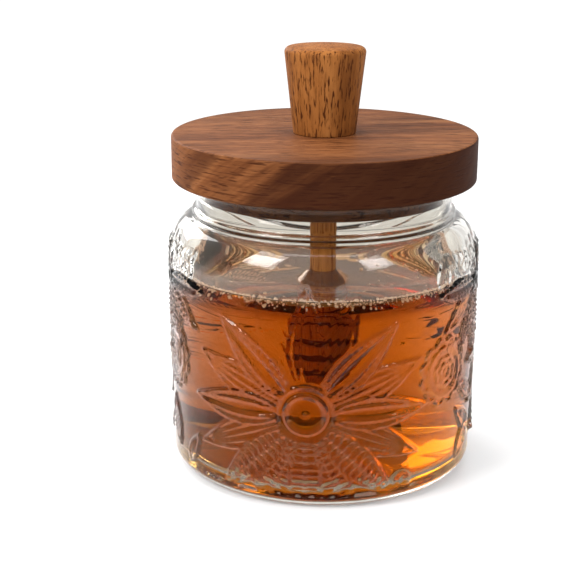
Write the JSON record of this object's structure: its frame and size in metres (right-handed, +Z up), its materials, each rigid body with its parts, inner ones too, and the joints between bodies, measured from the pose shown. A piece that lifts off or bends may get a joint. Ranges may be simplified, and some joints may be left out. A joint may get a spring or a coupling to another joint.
{
  "type": "honey jar with dipper",
  "caption": "Round pressed-glass jar with raised flowers, filled with amber honey and shut by a flat wooden lid with a tapered knob; a grooved wooden dipper hangs from the lid into the honey.",
  "frame": {"origin": "centre of the jar's base, on the surface it stands on", "axes": "+Z up along the jar's axis, front (the large flower) towards -Y, +X to the right seen from the front"},
  "size_m": [0.0942, 0.0942, 0.1269],
  "materials": {
    "glass": "clear pressed glass, polished, with raised flowers",
    "honey": "clear amber honey, glossy",
    "dark_wood": "oiled brown hardwood with dark streaks, satin",
    "pale_wood": "oiled oak-brown wood with short dark pores, satin"
  },
  "bodies": {
    "root": {"jar": "glass", "honey": "honey", "dipper": "pale_wood", "lid": "dark_wood", "knob": "pale_wood"}
  },
  "joints": []
}
